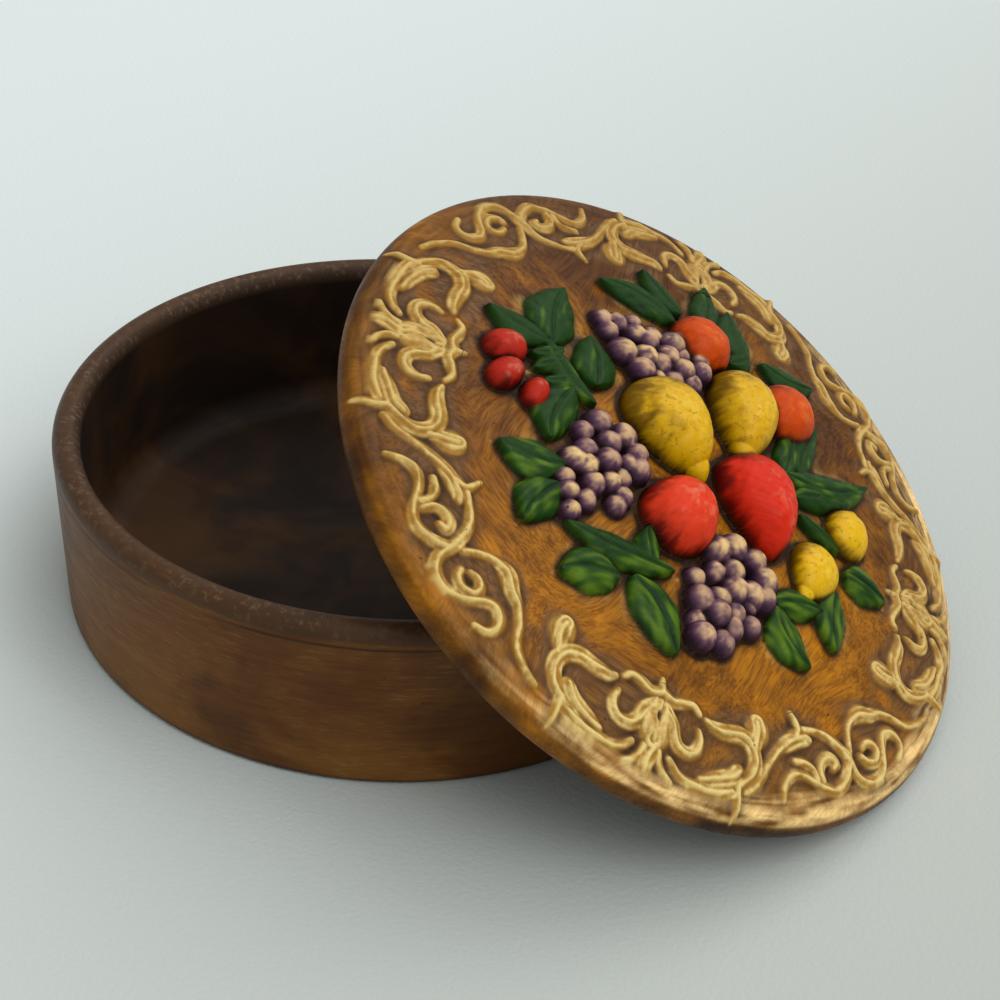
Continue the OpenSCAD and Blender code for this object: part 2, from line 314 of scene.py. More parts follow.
# The lid is one casting too. Its body is a shallow dome with a thick rounded edge, a flat
# seat, a low ring that drops into the box and a hollow underside. It is off the box: its
# edge stands on the table and its underside leans on the lip.
LID_R, EDGE, RISE, LID_T = 77.5, 4.0, 7.5, 8.2
RING_GAP, RING_T, RING_DEPTH, RING_BEVEL = 0.7, 4.0, 3.5, 0.8
LEAN, REST_GAP = 33.3, 0.15
RIM_R = LID_R - EDGE
DOME_R = (RIM_R ** 2 + RISE ** 2) / (2 * RISE)
lean = np.radians(LEAN)
lean_z = RIM_R * np.sin(lean) + EDGE
under = DOME_R - (EDGE + RISE - LID_T)
lip_reach = np.sqrt((DOME_R - WALL / 2 - REST_GAP) ** 2
                    - (BOX_H - WALL / 2 - lean_z + under * np.cos(lean)) ** 2)
lean_x = BOX_R - WALL / 2 - lip_reach + under * np.sin(lean)


def dome(r):
    """Height of the plain dome over the middle of the edge, at a distance r from the axis."""
    return EDGE + RISE - DOME_R + np.sqrt(DOME_R ** 2 - r ** 2)


def leaned(points):
    """Points or directions of the level lid, turned about Y by the lean."""
    x, y, z = points.T
    return np.stack([x * np.cos(lean) + z * np.sin(lean), y, z * np.cos(lean) - x * np.sin(lean)], 1)


# The relief is modelled on the lid before it is moulded, so it is one skin with the dome.
# Here it is pressed up on a flat plan of fine cells, each with its height over the dome,
# the paint on it, and how much it belongs to the field, to the scrolls or to a fruit.
UNIT = LID_R / 100
CELL, HALF = 0.16, 78.1
line = np.arange(-HALF, HALF + CELL / 2, CELL)
plan_x, plan_y = np.meshgrid(line, line, indexing="ij")
plan_r = np.hypot(plan_x, plan_y)
relief = np.zeros_like(plan_x)
paint = np.zeros(plan_x.shape + (3,))
kind = np.zeros_like(plan_x)
FIELD, SCROLLS, LEAF, FRUIT, GRAPE = 0, 1, 2, 3, 4
rng = np.random.default_rng(7)


def patch(low, high):
    """The block of cells of the plan between two corners, and the plan's x and y there."""
    a = np.clip(((np.asarray(low) + HALF) / CELL).astype(int), 0, len(line) - 1)
    b = np.clip(((np.asarray(high) + HALF) / CELL).astype(int) + 2, 1, len(line))
    block = (slice(a[0], b[0]), slice(a[1], b[1]))
    return block, plan_x[block], plan_y[block]


def press(block, height, colour, what):
    """Raises a block of the plan to a new height where that is higher, and paints it."""
    above = height > relief[block]
    relief[block] = np.where(above, height, relief[block])
    paint[block] = np.where(above[..., None], colour, paint[block])
    kind[block] = np.where(above, what, kind[block])


def smooth(value, low, high):
    """0 below low, 1 above high, and the cubic 3t^2 - 2t^3 between."""
    s = np.clip((value - low) / (high - low), 0, 1)
    return s * s * (3 - 2 * s)


def soften(values, cells):
    """A blurred copy: the mean over a square of cells, taken three times."""
    for axis in (0, 1) * 3:
        padded = np.pad(values, [(cells, cells) if k == axis else (0, 0) for k in (0, 1)], mode="edge")
        total = np.cumsum(padded, axis=axis)
        width = 2 * cells + 1
        ahead = np.take(total, range(width - 1, total.shape[axis]), axis=axis)
        behind = np.take(total, range(0, total.shape[axis] - width), axis=axis)
        behind = np.insert(behind, 0, 0, axis=axis)
        values = (ahead - behind) / width
    return values


def read_plan(values, x, y):
    """Values of the plan at any x and y, weighed between the four cells round each place."""
    u = np.clip((x + HALF) / CELL, 0, len(line) - 1.001)
    v = np.clip((y + HALF) / CELL, 0, len(line) - 1.001)
    i, j = u.astype(int), v.astype(int)
    fu, fv = u - i, v - j
    if values.ndim == 3:
        fu, fv = fu[..., None], fv[..., None]
    return ((values[i, j] * (1 - fu) + values[i + 1, j] * fu) * (1 - fv)
            + (values[i, j + 1] * (1 - fu) + values[i + 1, j + 1] * fu) * fv)


def cloud(cells):
    """Seeded noise over the plan, blurred over a number of cells, with a spread of one."""
    values = soften(rng.normal(size=plan_x.shape), cells)
    return values / values.std()


def mixed(first, second, share):
    """Two paints, sRGB steps or linear arrays, mixed by a share that varies over the plan."""
    a, b = [linear(c)[:3] if isinstance(c, tuple) else c for c in (first, second)]
    share = np.clip(share, 0, 1)[..., None]
    return np.array(a) * (1 - share) + np.array(b) * share


fine, daubs, patches, drifts = cloud(1), cloud(3), cloud(8), cloud(30)


# The border is eight scrolls between four crowns. Each stroke of the modelling tool is a soft
# ridge along a smooth line, and the wide ones are fluted like acanthus. The strokes hold an
# angle from the crown, a radius and a width, in hundredths of the lid's radius.
BORDER_TURN, CROWNS, SCROLL_H = 24.0, 4, 1.25
CROWN = [
    [[-0.6, 95.2, 2.4], [-0.6, 92.6, 4.6], [0.2, 89.4, 3.6], [0.6, 87.4, 2.4]],
    [[0, 86.6, 6], [0, 82.6, 10.5], [0, 79, 8], [0, 76, 2.4]],
    [[0, 73.4, 2.4], [-0.4, 69.8, 0.8]],
]
HALF_CROWN = [
    # the prong, the volute, the band under it, the arm, its spike and its leaf
    [[4.4, 95, 1], [2.9, 93.4, 1.6], [1.9, 91.2, 1.8], [1.6, 88.6, 1.4]],
    [[1.2, 77.6, 4], [3, 80, 4.2], [3.8, 83, 3.6], [5, 85.2, 3.4], [7, 85.8, 3], [8.6, 84.2, 2.8],
     [9.2, 81.6, 2.2], [8.9, 79, 1]],
    [[0, 73.2, 3], [2.4, 74.2, 2.8], [4.8, 73.2, 2.6], [7.2, 72.8, 1.8], [8.8, 74.6, 1.2]],
    [[3.8, 89.2, 1.2], [5.4, 91.8, 2.2], [7.6, 93.2, 2.6], [10.6, 93.4, 2.8], [13.4, 93.2, 3.2],
     [15.8, 92.4, 3.6]],
    [[16.9, 90.6, 3], [16.6, 95, 2.2], [16.2, 98.6, 0.8]],
    [[9.6, 91.2, 1.4], [12.6, 90.2, 4], [15.6, 88.8, 4.6], [17.4, 86.6, 3]],
    # the curled acanthus leaf and the bell at its back
    [[16.8, 91, 2.6], [19.4, 88.4, 3.4], [21, 85, 3.8], [21.2, 81.8, 4.2], [20.2, 79, 4.6],
     [18, 77.4, 4.6], [15, 77.4, 4.2], [12.4, 77, 3], [10.6, 75.8, 1.2]],
    [[21.8, 81, 1.4], [22.6, 78.2, 4.4], [23.4, 75.6, 7], [23.6, 73.6, 5]],
]
RIGHT_SCROLL = [
    # the stem, its leaf, the ridge that rises to the loop, the loop, its hook and its eye
    [[18.8, 92, 1.6], [21, 89.6, 2], [23.4, 85.4, 2.2], [25.8, 81.8, 2.4], [28.4, 79.4, 3],
     [31.4, 78.2, 4.6], [34.4, 77.8, 4], [36, 78.6, 1.4]],
    [[31.8, 77.4, 3], [33.8, 75.2, 2.2], [33, 71, 0.8]],
    [[35, 75.6, 1.2], [38.4, 77, 2], [41, 79, 2.4], [42.6, 82, 2.8], [43.8, 86, 3], [44.2, 89, 2.4]],
    [[26, 93.4, 1.2], [27, 89.4, 2.2], [28.8, 87, 2.6], [31.2, 86.8, 2.4], [33.4, 88.4, 2.2],
     [36, 91.4, 2.6], [38.6, 92.6, 3], [41.4, 90.6, 3], [43.4, 87.4, 3]],
    [[31, 83, 1.6], [33, 83.6, 2.4], [34.6, 85.6, 2], [34.8, 88.4, 1.6]],
    [[36, 89, 2], [36.2, 86, 2.6], [37.4, 84, 3], [39.4, 83.8, 3.2], [40.6, 85.6, 2.6],
     [39.4, 86.6, 1.6]],
]
LEFT_SCROLL = [
    # the loop, its eye, and the stem with its leaf
    [[46, 88, 2.6], [45.4, 91.4, 2.8], [43.8, 93.8, 3], [41.4, 94.6, 3], [39.2, 93.2, 2.8],
     [37.2, 90.6, 2.6], [35.6, 87.4, 2.8], [33.8, 86, 3], [32, 87.2, 3], [31.2, 89.8, 2.4],
     [31.8, 92.4, 2], [33.6, 93.8, 1.4]],
    [[42.4, 87.6, 2], [41.6, 89.4, 2.6], [39.6, 90.2, 2.8], [37.9, 88.4, 2.8], [38.2, 86, 2.6],
     [39.6, 84.9, 2.2], [41.2, 85.6, 1.4]],
    [[45, 84.4, 2], [43.8, 81.4, 1.8], [42.2, 78.8, 2], [40.2, 77.4, 2.6], [37.4, 77.4, 5],
     [34.8, 79.4, 3.6], [32, 81, 2.4], [29.8, 84, 2.2], [27.6, 88.4, 2], [24.6, 91.4, 1.8],
     [21.6, 93, 1.4]],
]
STROKE_SPREAD, STROKE_LEAST, STROKE_REACH, HAND_SLIP = 0.64, 0.45, 4.5, 0.15
FLUTE, FLUTE_DEPTH = 1.5, 0.5
# a slot at that radius in each crown, and two faults of the casting at their x and y
SLOT, TORN, BUBBLES = 79.7, (76.1, -6.1), (53.2, -62.3)
CREAM = (220, 193, 120)
OCHRE = (160, 116, 44)
CREAM_LOW = (98, 62, 24)


def curve_through(points, steps=7):
    """A smooth line through points: between two of them it is the cubic whose slope at each
    is half the way from the point before to the point after."""
    p = np.vstack([2 * points[0] - points[1], points, 2 * points[-1] - points[-2]])
    s = np.linspace(0, 1, steps, endpoint=False)[:, None]
    parts = [0.5 * (2 * b + (c - a) * s + (2 * a - 5 * b + 4 * c - d) * s ** 2
                    + (3 * b - a - 3 * c + d) * s ** 3) for a, b, c, d in zip(p, p[1:], p[2:], p[3:])]
    return np.vstack(parts + [points[-1:]])


def stroke(points, side, crown, shift):
    """A ridge along the line through points. Its height falls smoothly from 0.2 to 1.08 half
    widths off the line. Fine flutes run along it, a cosine of the distance off the line, and
    the cream paint catches on their crests."""
    p = np.array(points, float)
    a = np.radians(crown + side * p[:, 0])
    place = np.stack([np.cos(a), np.sin(a)], 1) * p[:, 1:2] * UNIT + shift
    path = curve_through(np.hstack([place, p[:, 2:] * UNIT * STROKE_SPREAD + STROKE_LEAST]))
    block, x, y = patch(path[:, :2].min(0) - STROKE_REACH, path[:, :2].max(0) + STROKE_REACH)
    ax, ay, aw = path[:-1].T
    dx, dy, dw = (path[1:] - path[:-1]).T
    start = np.cumsum(np.hypot(dx, dy)) - np.hypot(dx, dy)
    px, py = x[..., None] - ax, y[..., None] - ay
    along = np.clip((px * dx + py * dy) / (dx * dx + dy * dy + 1e-9), 0, 1)
    width = aw + along * dw
    off = np.hypot(px - along * dx, py - along * dy) / width
    near = off.argmin(-1)[..., None]
    t, w, run, turn = [np.take_along_axis(v, near, -1)[..., 0] for v in
                       (off, width, start + along * np.hypot(dx, dy), px * dy - py * dx)]
    across = np.sign(turn) * t * w
    section = 1 - smooth(t, 0.2, 1.08)
    wide = smooth(w, 1.0, 1.7) * (1 - smooth(w, 3.4, 4.6))
    wave = np.cos(2 * np.pi * across / FLUTE + 0.9 * np.sin(run / 2.5))
    tall = SCROLL_H * np.clip(0.45 + w / 3.4, 0.6, 1.1) * (1 + 0.12 * patches[block])
    height = tall * section * (1 - FLUTE_DEPTH * wide * (0.5 - 0.5 * wave))
    hair = read_plan(fine, run * 0.3 - 40, across * 0.9 + start[-1])
    catch = section * 0.78 + 0.3 * wave * wide + 0.16 * hair + 0.06 * fine[block] + 0.06 * daubs[block]
    catch = smooth(catch, 0.36, 1.06) * (1 - 0.4 * smooth(y, -40, 50)) * (1 - 0.25 * smooth(-x, -10, 60))
    flank = mixed(CREAM_LOW, OCHRE, smooth(section, 0.05, 0.5))
    press(block, height, mixed(flank, CREAM, catch), SCROLLS)


def dent(x, y, turn, half_l, half_w, depth):
    """Presses a soft oval down into the relief, to a depth times exp(-t^2)."""
    way = np.radians(turn)
    block, px, py = patch([x - 3 * half_l, y - 3 * half_l], [x + 3 * half_l, y + 3 * half_l])
    u = ((px - x) * np.cos(way) + (py - y) * np.sin(way)) / half_l
    v = (-(px - x) * np.sin(way) + (py - y) * np.cos(way)) / half_w
    relief[block] = np.maximum(relief[block] - depth * np.exp(-u * u - v * v), 0)


for crown in BORDER_TURN + 360 / CROWNS * np.arange(CROWNS):
    strokes = [(points, 1) for points in CROWN + HALF_CROWN + RIGHT_SCROLL]
    strokes += [(points, -1) for points in HALF_CROWN + LEFT_SCROLL]
    for points, side in strokes:
        stroke(points, side, crown, rng.normal(0, HAND_SLIP, 2))
    way = np.radians(crown)
    dent(SLOT * UNIT * np.cos(way), SLOT * UNIT * np.sin(way), crown, 1.3, 0.55, 1.3)
# the spot where the clay tore, and a few burst bubbles in the curled leaf below it
dent(TORN[0] * UNIT, TORN[1] * UNIT, 60, 1.7, 1.0, 2.0)
for bubble in rng.normal(0, 1.1, (9, 2)):
    dent(BUBBLES[0] * UNIT + bubble[0], BUBBLES[1] * UNIT + bubble[1], 0, 0.3, 0.3, 0.9)
relief = soften(relief, 1) * (1 + 0.05 * cloud(4) + 0.05 * cloud(9))

# The leaves lie under the fruit in sprays. Each is a pointed oval with a sunk midrib and
# side veins, painted green over the cream ground, which shows round it, most by the cherries.
# They are listed by foot x and y, tip x and y, width, all in hundredths of the lid's radius.
LEAVES = [
    [-50, -4, -58, 17, 13.5], [-34, -6, -44, 8, 12], [-51, -5, -68.5, -8, 9.5],
    [-52, -4, -32, -11, 8], [-47, -2.8, -52.5, -12.2, 5.5], [-43.3, -6.8, -49, -16.2, 5.5],
    [-39, -9, -45, -18, 5.5], [-38, -13, -34, -32, 12.5], [-26, -37, -42, -45, 11.5],
    [-24, -43, -25, -59, 11], [13, -37, -15, -50, 8.5], [3, -52, -9, -63, 12],
    [5, -48, 25, -56, 12.5], [0, -32, 8, -40, 6.5], [38, -17, 50, -5, 8.5],
    [39, -18, 56, -23, 11.5], [50, 15, 64, 20, 11], [51, 6, 60, -10, 10], [30, 17, 45, 19, 5],
    [20, 25, 41, 52, 11], [24, 30, 21, 53, 9], [20, 24, 14, 42, 8], [26, 21, 39, 37, 8],
    [-4, 58, 12, 69, 10], [-7, 53, -20, 66, 11], [-23, 50, -30, 67, 9],
    [-30, 47, -46, 52, 8.5], [-30, 42, -52, 34, 10], [-8, 56, -11, 46, 7],
]
LEAF_H, LEAF_HALF, RIB_W, LOBE_PITCH, VEIN_PITCH = 2.4, 0.58, 0.45, 6.5, 4.2
CHERRIES_AT = (-37, -8)
GREEN = (22, 57, 6)
GREEN_DARK = (8, 33, 5)
GREEN_LIGHT = (80, 110, 14)
GROUND = (214, 184, 110)


def leaf(foot_x, foot_y, tip_x, tip_y, width, bend):
    """A leaf along its foot-to-tip line, bent to one side. Its half width is that of a
    rounded blade with a few lobes, and it is puffed up beside a shallow midrib. Light and
    dark green run along it in the streaks of a small brush. Painted light makes the puffed
    blade and the leaves on the lid's downhill, near part lighter, and painted shade darkens
    the midrib and the low edges."""
    foot, tip = np.array([foot_x, foot_y]) * UNIT, np.array([tip_x, tip_y]) * UNIT
    length = np.hypot(*(tip - foot)) * 1.08
    along_way = (tip - foot) / np.hypot(*(tip - foot))
    block, x, y = patch(np.minimum(foot, tip) - 9, np.maximum(foot, tip) + 9)
    u = ((x - foot[0]) * along_way[0] + (y - foot[1]) * along_way[1]) / length
    v = -(x - foot[0]) * along_way[1] + (y - foot[1]) * along_way[0]
    s = np.clip(u, 0, 1)
    v = v - bend * length * 4 * s * (1 - s)
    half = width * UNIT * LEAF_HALF * np.sin(np.pi * s ** 0.85) ** 0.8
    lobe = np.abs(np.sin(np.pi * (s * length / LOBE_PITCH + 0.22 * np.sign(v) + bend * 9)))
    half = half * (0.93 + 0.1 * lobe) + 1e-3
    t = np.abs(v) / half
    inside = (u > 0) & (u < 1)
    puff = np.clip(1 - t ** 2.4, 0, 1) ** 0.55
    rib = np.exp(-(v / RIB_W) ** 2)
    veins = (0.5 + 0.5 * np.cos(2 * np.pi * (s * length - 1.2 * np.abs(v)) / VEIN_PITCH)) ** 2
    height = np.where(inside, LEAF_H * puff * (1 - 0.16 * rib - 0.07 * veins * t), 0)
    hair = read_plan(fine, s * length * 0.22 + foot[0], v * 0.7 + foot[1])
    hair = 0.7 * hair + 0.5 * read_plan(daubs, s * length * 0.35 + foot[1], v * 1.4 + foot[0])
    # brush streaks with painted light on the puffed blade and towards +x and -y, and painted shade in
    # the midrib and at the low edges
    streaks_and_painted_light = smooth(0.36 * hair + 0.5 * puff * (1 - rib) + 0.3 * t - y / 150 + x / 130, 0.5, 1.5)
    dark = smooth(0.5 * rib + 0.15 * veins - 0.22 * hair + 0.35 * (1 - puff), 0.2, 1.0)
    green = mixed(mixed(GREEN, GREEN_LIGHT, streaks_and_painted_light), GREEN_DARK, dark)
    gap = np.where((u > -0.08) & (u < 1.08), smooth(1.5 - np.abs(v) / (half + 0.3), 0, 0.5), 0)
    by_cherries = smooth(np.hypot(x - CHERRIES_AT[0], y - CHERRIES_AT[1]), 11, 6)
    gap = gap * smooth(read_plan(daubs, x * 0.4, y * 0.4), -1.0, 0.8) * (0.2 + 0.8 * by_cherries)
    bare = (kind[block] == FIELD)[..., None]
    ground = np.array(linear(GROUND)[:3]) * gap[..., None] * 0.999
    paint[block] = np.where(bare & (ground > paint[block]), ground, paint[block])
    press(block, height, green, LEAF)


for number, shape in enumerate(LEAVES):
    leaf(*shape, bend=(0.08, -0.07, 0.04, -0.1)[number % 4])

# The fruit stands highest, and is modelled as half eggs, each drawn out at one end where it
# has a neck or a nub. They are listed by x, y, turn, half length, half width, height, and how
# much narrower the far end is.
FRUIT_SHAPES = {
    "lemon": [(-12.5, 3, -24, 15.4, 12.4, 9.4, 0.26), (1, 30, -62, 15.4, 11, 9, 0.26)],
    "small_lemon": [(45, 29, 100, 8.2, 7.5, 5, 0.08), (43, 5, -80, 9.5, 8, 5, 0.18)],
    "orange": [(-20.5, 42.5, 0, 9.8, 9.6, 6.8, 0), (10.5, 47, 80, 10.4, 10, 7.2, 0)],
    "apple": [(4.5, -21, 95, 11.8, 11, 9, 0.05)],
    "pear": [(19.5, 5.5, -40, 16, 12, 9.6, 0.34)],
    "cherry": [(-58.5, -17, 40, 6.4, 5.4, 4.6, 0), (-53.5, -25, 80, 6.4, 4.6, 4.4, 0),
               (-44.5, -23.5, 100, 5.4, 3.8, 4, 0)],
}
FRUIT_PAINT = {
    # the colour, its painted shade, and what shows where it is rubbed, which is partly a painted
    # highlight
    "lemon": ((212, 164, 0), (112, 80, 0), (240, 204, 70)),
    "small_lemon": ((220, 172, 0), (118, 86, 0), (242, 208, 80)),
    "orange": ((196, 68, 0), (108, 28, 0), (236, 132, 50)),
    "apple": ((214, 56, 24), (110, 14, 6), (236, 160, 120)),
    "pear": ((206, 38, 12), (90, 8, 4), (230, 130, 96)),
    "cherry": ((172, 34, 14), (88, 10, 6), (226, 140, 110)),
}
NUB_R, NUB_SMALL, NUB_HIGH, NUB_AT = 5.0, 3.5, 0.5, 0.78


def egg(x, y, turn, half_l, half_w, height, taper, colour, shade, rubbed):
    """Half an egg on the dome. Along its length u its half width shrinks by the taper, and
    its height is that times (1 - t^2.3)^0.5 at t of the way from the middle to its edge. The
    colour is daubed on, with painted shade towards the foot and on its uphill, far side, and
    the ground is rubbed through on top and towards +x, partly as a painted highlight."""
    way = np.radians(turn)
    reach = (half_l + 3) * UNIT
    block, px, py = patch([x * UNIT - reach, y * UNIT - reach], [x * UNIT + reach, y * UNIT + reach])
    u = ((px - x * UNIT) * np.cos(way) + (py - y * UNIT) * np.sin(way)) / (half_l * UNIT)
    v = (-(px - x * UNIT) * np.sin(way) + (py - y * UNIT) * np.cos(way)) / (half_w * UNIT)
    t = np.hypot(u, v / (1 - taper * np.clip(u, -1, 1))) * (1 + 0.012 * patches[block])
    bulge = np.clip(1 - t ** 2.3, 0, 1) ** 0.5
    # painted shade towards the foot and on the uphill, far side; rubbed ground with a painted highlight
    # on top and towards +x
    low = 0.9 - bulge - (px - py) / 60 + (x - y) * UNIT / 60
    low = low + 0.1 * patches[block] + 0.08 * daubs[block] + 0.06 * fine[block]
    rub_and_highlight = bulge + (px - x * UNIT) / 70 + 0.07 * daubs[block] + 0.05 * fine[block]
    daubed = mixed(mixed(colour, shade, smooth(low, 0, 0.75)), rubbed, smooth(rub_and_highlight, 0.9, 1.2) * 0.36)
    press(block, height * bulge * (1 + 0.012 * daubs[block] + 0.012 * patches[block]), daubed, FRUIT)


for name, shapes in FRUIT_SHAPES.items():
    for x, y, turn, half_l, half_w, high, taper in shapes:
        egg(x, y, turn, half_l, half_w, high, taper, *FRUIT_PAINT[name])
        if "lemon" in name:
            way = np.radians(turn)
            tip_x, tip_y = x + half_l * NUB_AT * np.cos(way), y + half_l * NUB_AT * np.sin(way)
            nub = NUB_R if name == "lemon" else NUB_SMALL
            egg(tip_x, tip_y, turn, nub * 1.3, nub, high * NUB_HIGH, 0.2, *FRUIT_PAINT[name])

# Three bunches of grapes fill the gaps. Each grape is a ball sunk into the bunch, which is
# highest along its middle. The bunches are listed by x and y of their wide end, the
# direction of the tip, and the grapes in each row.
BUNCHES = [
    [-16, 25, 192, [4, 5, 4, 4, 3, 2, 1]],
    [-20.5, -16, -82, [3, 4, 3, 4, 3, 2, 1]],
    [27, -16, -85, [3, 4, 3, 4, 3, 2, 1]],
]
GRAPE_R, GRAPE_PITCH, ROW_STEP, SCATTER = 3.1, 1.52, 0.86, 0.7
GRAPE_LIFT, SIDE_FALL, TIP_FALL, LIFT_SPREAD = 2.1, 0.8, 1.2, 0.5
GRAPE_SHADE = (48, 29, 45)
GRAPE_PURPLE = (98, 64, 84)
GRAPE_TOPS = (232, 196, 128), (206, 166, 128)


def grape(x, y, lift, radius):
    """A ball whose middle is at a lift over the dome. It is purple, with painted shade nearly
    black low down, and the cream ground is rubbed through on top."""
    block, px, py = patch([x - radius, y - radius], [x + radius, y + radius])
    inside = radius ** 2 - (px - x) ** 2 - (py - y) ** 2
    up = np.sqrt(np.clip(inside, 0, None)) / radius
    height = np.where(inside > 0, lift + radius * up + 0.04 * daubs[block], 0)
    # painted shade: nearly black low on the grape, purple higher up
    worn = up + 0.08 * daubs[block] + 0.05 * fine[block]
    colour = mixed(GRAPE_SHADE, GRAPE_PURPLE, smooth(worn, 0.25, 0.85))
    top = mixed(*GRAPE_TOPS, np.full(px.shape, rng.uniform()))
    share = smooth(worn, 0.64, 1.12) * rng.uniform(0.55, 1)
    press(block, height, mixed(colour, top, share), GRAPE)


for x, y, way, rows in BUNCHES:
    way = np.radians(way)
    pitch = GRAPE_PITCH * GRAPE_R
    for row, number in enumerate(rows):
        for k in range(number):
            side = (k - (number - 1) / 2) * pitch
            gx, gy = rng.normal(0, SCATTER, 2)
            gx += x * UNIT + row * pitch * ROW_STEP * np.cos(way) - side * np.sin(way)
            gy += y * UNIT + row * pitch * ROW_STEP * np.sin(way) + side * np.cos(way)
            lift = GRAPE_LIFT - SIDE_FALL * abs(side) / pitch - TIP_FALL * row / len(rows)
            lift += rng.uniform(-LIFT_SPREAD, LIFT_SPREAD)
            grape(gx, gy, lift, GRAPE_R * rng.uniform(0.78, 1.2))

# The paint goes on in washes. A golden brown field, a purplish brown wash that stays in the
# recesses of the border, cream dry-brushed over what stands proud and along the shoulder of
# the edge, there partly a painted highlight, a dark line round the edge that is painted shade,
# and a dark glaze with painted shade that gathers in every crease.
FIELD_GOLD = (160, 100, 6)
FIELD_DEEP = (80, 43, 2)
RECESS = (100, 69, 38)
EDGE_GOLD = (230, 194, 128)
EDGE_SHADE = (62, 38, 16)
CREASE = (26, 13, 4)
# where each begins and is full: by distance from the lid's axis, and downhill by x
BORDER_FROM, SHOULDER_FROM, RUB_AND_HIGHLIGHT_FROM = (52, 55), (66, 72), (69, 75)
RUB_AND_HIGHLIGHT_TO, EDGE_SHADE_FROM, DOWNHILL = (76.7, 77.1), (76.6, 77.15), (-20, 40)

in_border = smooth(plan_r, *BORDER_FROM)
sunk = np.clip(soften(relief, 7) - relief, 0, None)
foot = np.clip(soften(relief, 4) - relief, 0, None) * in_border
deep = 0.3 + 0.7 * smooth(plan_y, 0, 60) + 0.55 * smooth(-plan_x, 0, 65)
deep = deep + 0.14 * drifts + 0.12 * patches
wash = smooth(soften(relief, 14) + 0.05 * patches, 0.08, 0.36) * in_border * 0.9
downhill = smooth(plan_x, *DOWNHILL)
wash = wash * (1 - 0.7 * smooth(plan_r, 69, 74) * (1 - downhill))
wash = np.maximum(wash, 0.45 * smooth(plan_r, 62, 69) * downhill)
round_hair = read_plan(fine, np.arctan2(plan_y, plan_x) * 8, plan_r - 10)
# cream rubbed along the shoulder of the edge on the downhill side, partly a painted highlight
edge_rub_and_highlight = smooth(plan_r + patches, *RUB_AND_HIGHLIGHT_FROM) * (1 - smooth(plan_r, *RUB_AND_HIGHLIGHT_TO))
edge_rub_and_highlight = edge_rub_and_highlight * smooth(round_hair + 0.25 * daubs, -2.4, 1.4) * (0.03 + 0.87 * downhill)
# painted shade: a dark line on the outer side and underside of the edge, weaker uphill
edge_shade = smooth(plan_r, *EDGE_SHADE_FROM) * (0.6 - 0.25 * round_hair)
edge_shade = edge_shade * (0.4 + 0.6 * smooth(plan_x, -30, 40))
ground = mixed(mixed(mixed(FIELD_GOLD, FIELD_DEEP, deep), RECESS, wash), EDGE_GOLD, edge_rub_and_highlight)
ground = mixed(ground, EDGE_SHADE, edge_shade)
shoulder = smooth(plan_r, *SHOULDER_FROM)
ground = ground * (1 + 0.12 * shoulder * np.clip(round_hair, -2, 2))[..., None]
bare = kind == FIELD
gap = paint.sum(-1, keepdims=True) / sum(linear(GROUND)[:3])
paint = np.where(bare[..., None], ground * (1 - gap) + paint, paint)
proud = smooth(relief / SCROLL_H, 0.1, 0.5)
paint = np.where((kind == SCROLLS)[..., None], mixed(ground, paint, proud), paint)
# a dark glaze with painted shade in the creases of the relief and round the foot of the border's strokes
paint = mixed(paint, CREASE, smooth(sunk, 0.06, 0.75) * np.where(kind == SCROLLS, 0.75, 0.95))
paint = mixed(paint, CREASE, smooth(foot, 0.03, 0.36) * 0.6)
# how much of the brush marks and of the lemons' specks each place takes in the material
brushed = soften(np.where(bare, 1.0, np.where(kind == SCROLLS, 0.3, 0.15)), 1)
brushed = brushed * (1 - 0.5 * shoulder)
pitted = soften(np.where((kind == FRUIT) & (paint[..., 1] > 0.15), 1.0, 0.0), 1)
slope_x, slope_y = np.gradient(dome(plan_r) + relief, CELL)


def paint_on(piece, x, y):
    """Keeps the plan's paint and its washes on a piece, one value for each of its points."""
    mesh = piece.data
    colour = np.ones((len(x), 4))
    colour[:, :3] = read_plan(paint, x, y)
    layer = mesh.attributes.new("paint", "FLOAT_COLOR", "POINT")
    layer.data.foreach_set("color", colour.astype(np.float32).ravel())
    for name, values in (("brushed", brushed), ("pitted", pitted)):
        layer = mesh.attributes.new(name, "FLOAT", "POINT")
        layer.data.foreach_set("value", read_plan(values, x, y).astype(np.float32))


# The skin of the lid is made in sheets that meet edge to edge: four quarters of the field
# with the fruit, two halves of the border with the outer edge, and the plain underside.
SEAM_R, SIDE = 55.0, 220
BORDER_ROWS, EDGE_ROWS, HOLLOW_ROWS = 84, 23, 40
UNDER_BEND, RELIEF_ENDS = -55.0, (0.3, 3.6)


def plan_normals(x, y):
    """Unit normals of the domed relief: (-dz/dx, -dz/dy, 1), made one long."""
    n = np.stack([-read_plan(slope_x, x, y), -read_plan(slope_y, x, y), np.ones_like(x)], -1)
    return n / np.linalg.norm(n, axis=-1, keepdims=True)


def field_quarter(low_a, low_b):
    """A quarter of a disc of even cells: the square from -1 to 1 is bent into a circle, where
    the larger of |a| and |b| is the radius and their ratio gives the angle."""
    steps = np.linspace(0, 1, SIDE + 1)
    a, b = np.meshgrid(low_a + steps, low_b + steps, indexing="ij")
    wide = np.abs(a) > np.abs(b)
    safe_a, safe_b = np.where(a == 0, 1, a), np.where(b == 0, 1, b)
    r = np.where(wide, a, b) * SEAM_R
    angle = np.where(wide, np.pi / 4 * b / safe_a, np.pi / 2 - np.pi / 4 * a / safe_b)
    x, y = r * np.cos(angle), r * np.sin(angle)
    points = np.stack([x, y, dome(np.hypot(x, y)) + read_plan(relief, x, y)], 2)
    return points, plan_normals(x, y), x, y


